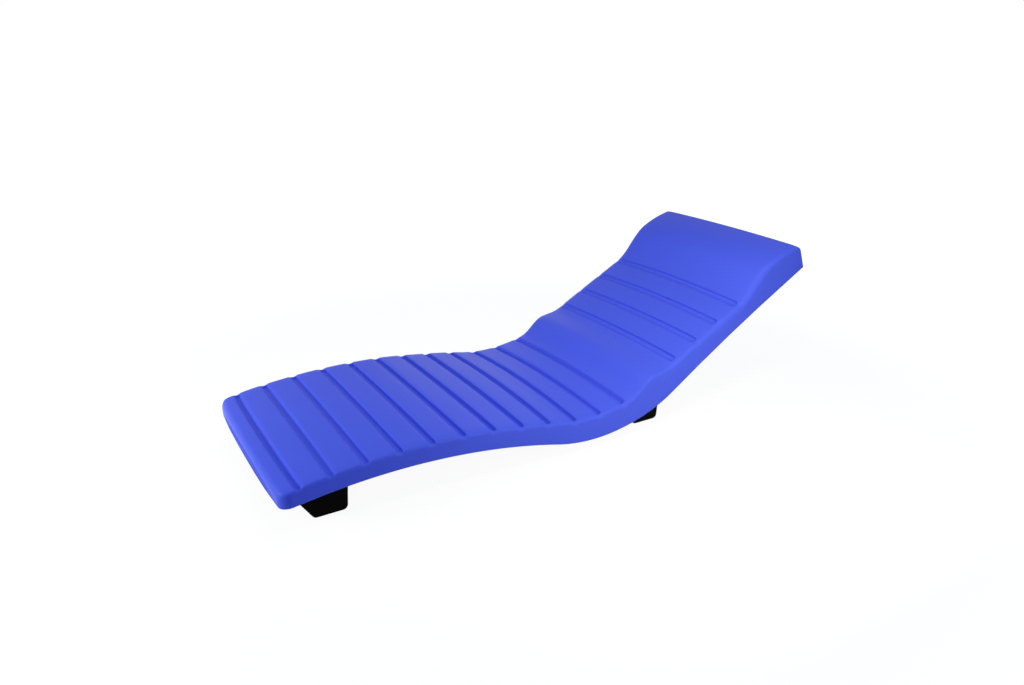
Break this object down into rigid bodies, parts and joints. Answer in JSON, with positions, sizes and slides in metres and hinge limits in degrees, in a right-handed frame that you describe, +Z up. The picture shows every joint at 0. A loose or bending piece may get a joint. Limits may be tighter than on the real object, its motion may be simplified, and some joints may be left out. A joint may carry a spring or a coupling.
{
  "type": "relaxation lounger",
  "caption": "Low wave-shaped spa relaxation lounger: moulded blue body with cross grooves, lumbar roll and headrest on black feet.",
  "frame": {"origin": "on the floor, at the middle of the length and width", "axes": "+X from the foot end to the head end, +Y across the width, +Z up"},
  "size_m": [1.85, 0.6704, 0.5436],
  "materials": {
    "skin": "satin integral polyurethane skin, royal blue",
    "foam": "open-cell cream moulded foam",
    "panel": "black haircell-grained sheet",
    "frame_steel": "dark epoxy powder coat",
    "plug_plastic": "black moulded",
    "foot_plastic": "black moulded, finely spark-eroded",
    "sole_rubber": "matt black rubber",
    "fastener_steel": "stainless steel",
    "insert_brass": "turned brass"
  },
  "bodies": {
    "root": {"outer_skin": "skin", "foam_core": "foam", "base_panel": "panel", "side_rail_left": "frame_steel", "side_rail_right": "frame_steel", "ankle_cross_tube": "frame_steel", "knee_cross_tube": "frame_steel", "thigh_cross_tube": "frame_steel", "seat_cross_tube": "frame_steel", "back_cross_tube": "frame_steel", "neck_cross_tube": "frame_steel", "rail_plugs": "plug_plastic", "front_left_foot_plate": "frame_steel", "front_right_foot_plate": "frame_steel", "rear_left_foot_plate": "frame_steel", "rear_right_foot_plate": "frame_steel", "front_left_foot": "foot_plastic", "front_right_foot": "foot_plastic", "rear_left_foot": "foot_plastic", "rear_right_foot": "foot_plastic", "front_left_sole": "sole_rubber", "front_right_sole": "sole_rubber", "rear_left_sole": "sole_rubber", "rear_right_sole": "sole_rubber", "foot_bolts": "fastener_steel", "foot_bolt_washers": "fastener_steel", "foot_weld_nuts": "fastener_steel", "panel_screws": "fastener_steel", "panel_inserts": "insert_brass"}
  },
  "joints": []
}
